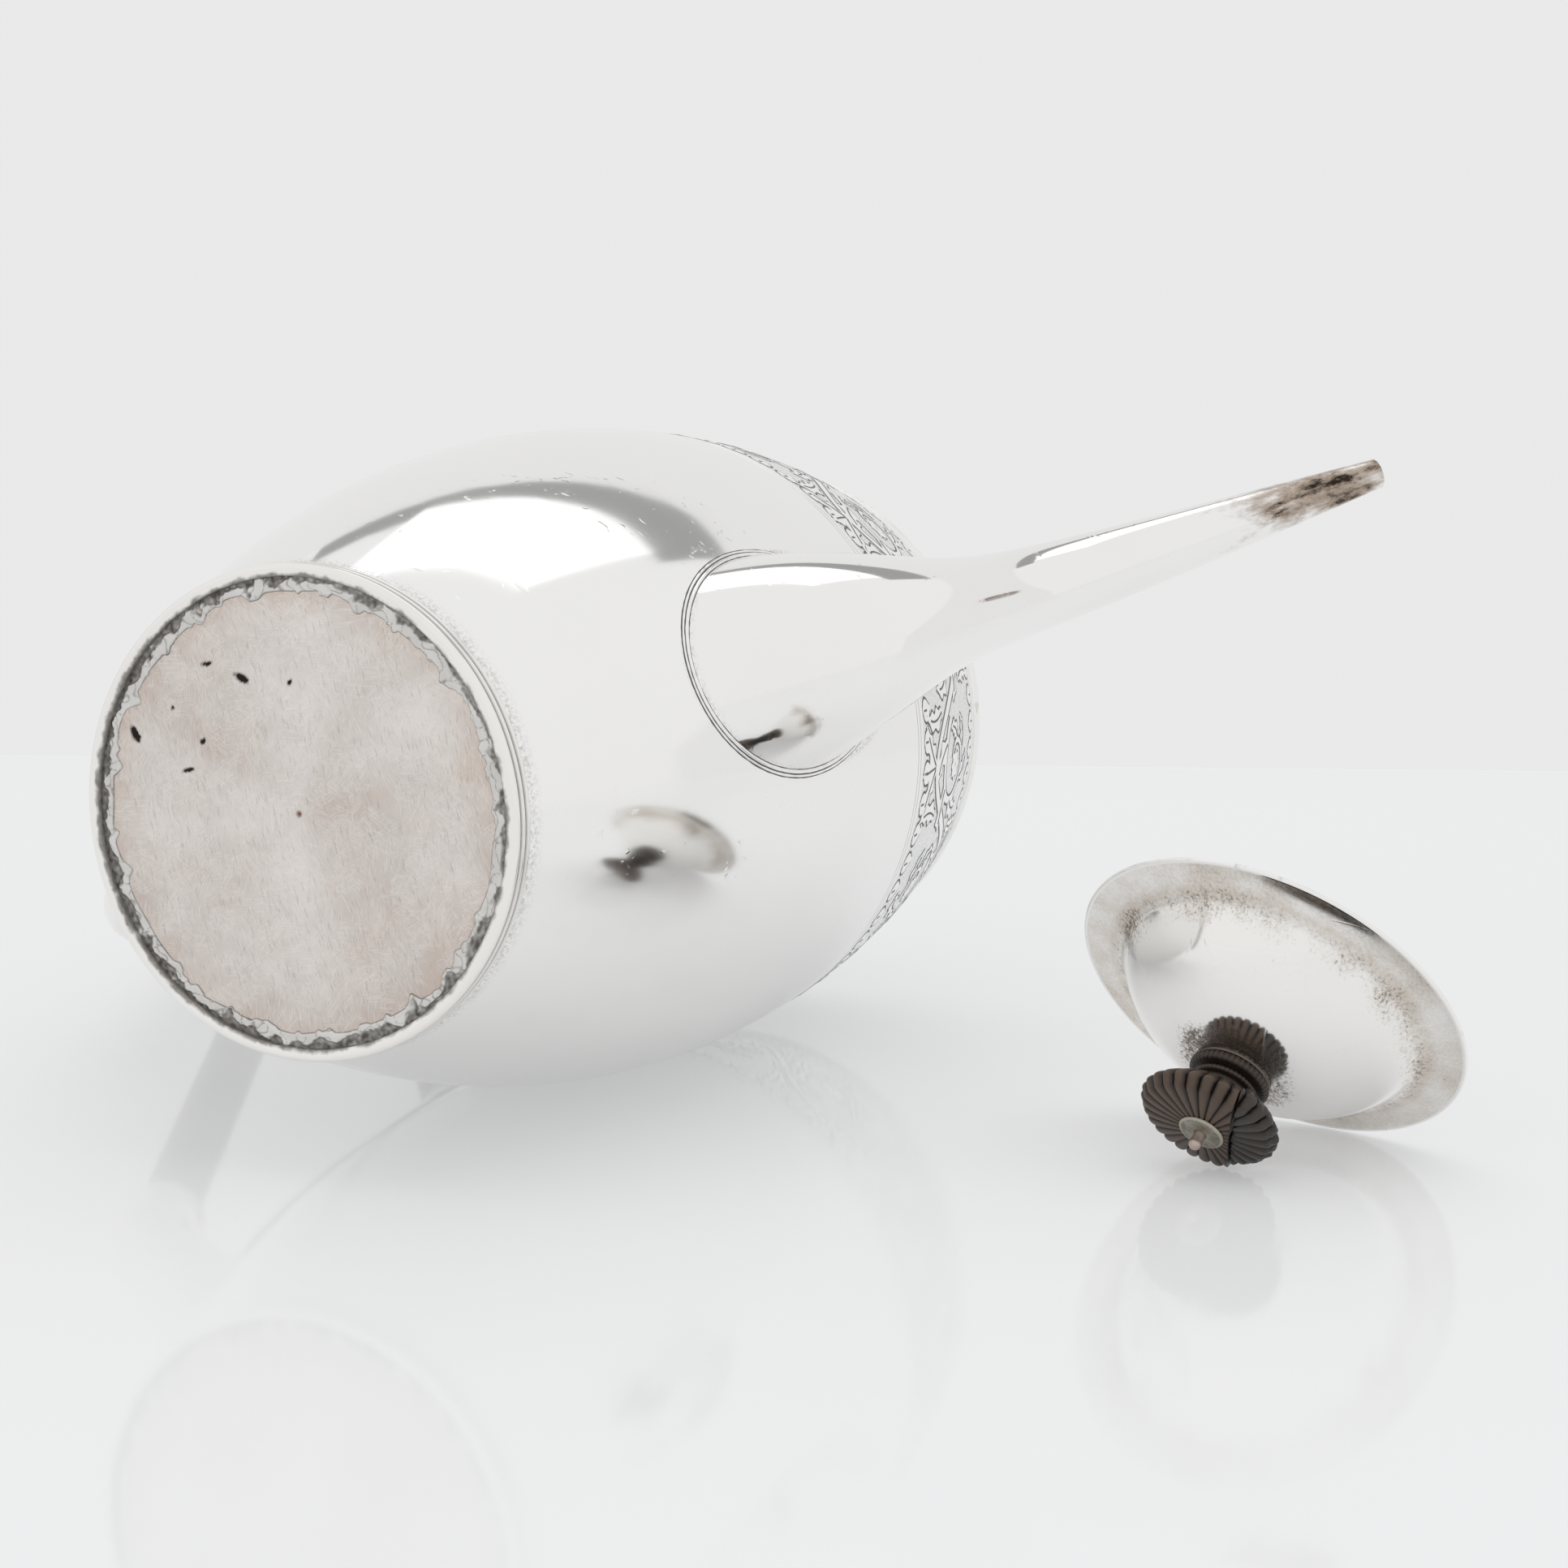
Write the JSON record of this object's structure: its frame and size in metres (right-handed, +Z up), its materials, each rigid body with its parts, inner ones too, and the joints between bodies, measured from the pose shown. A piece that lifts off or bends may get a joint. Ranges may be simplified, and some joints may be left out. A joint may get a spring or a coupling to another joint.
{
  "type": "silver coffee pot",
  "caption": "Egg-shaped silver coffee pot lying on its side, with long tapering spout, wooden handle in silver sockets and a loose domed lid with a carved wooden finial.",
  "frame": {"origin": "on the floor, under the middle of the bounding box of pot and lid", "axes": "+X along the pot's axis from foot to mouth, +Z up, +Y towards the handle's side"},
  "size_m": [0.2568, 0.3486, 0.136],
  "materials": {
    "silver": "polished silver with fine wear scratches",
    "base_silver": "satin silver with fine file marks",
    "solder": "uneven silver solder with dark grime",
    "handle_wood": "dark polished wood",
    "finial_wood": "dark carved wood, worn lighter on the ribs",
    "washer_metal": "dark patinated metal"
  },
  "bodies": {
    "pot": {"body_shell": "silver", "base_plate": "base_silver", "foot_ring": "silver", "base_solder_seam": "solder", "shoulder_wire": "silver", "shoulder_plate": "silver", "mouth_collar": "silver", "spout_shell": "silver", "spout_root_wire": "solder", "lower_socket": "silver", "upper_socket": "silver", "handle_grip": "handle_wood", "lower_handle_pin": "silver", "upper_handle_pin": "silver"},
    "lid": {"lid_shell": "silver", "lid_bezel": "silver", "lid_rim_wire": "silver", "finial_seat": "silver", "finial_collar": "finial_wood", "finial_knob": "finial_wood", "finial_fragment": "finial_wood", "finial_washer": "washer_metal", "finial_pin": "silver", "finial_nut": "silver"}
  },
  "joints": [
    {"name": "lid_lift", "type": "slide", "parent": "pot", "child": "lid", "axis": [0, 0, 1], "range_m": [0, 0.15]}
  ]
}
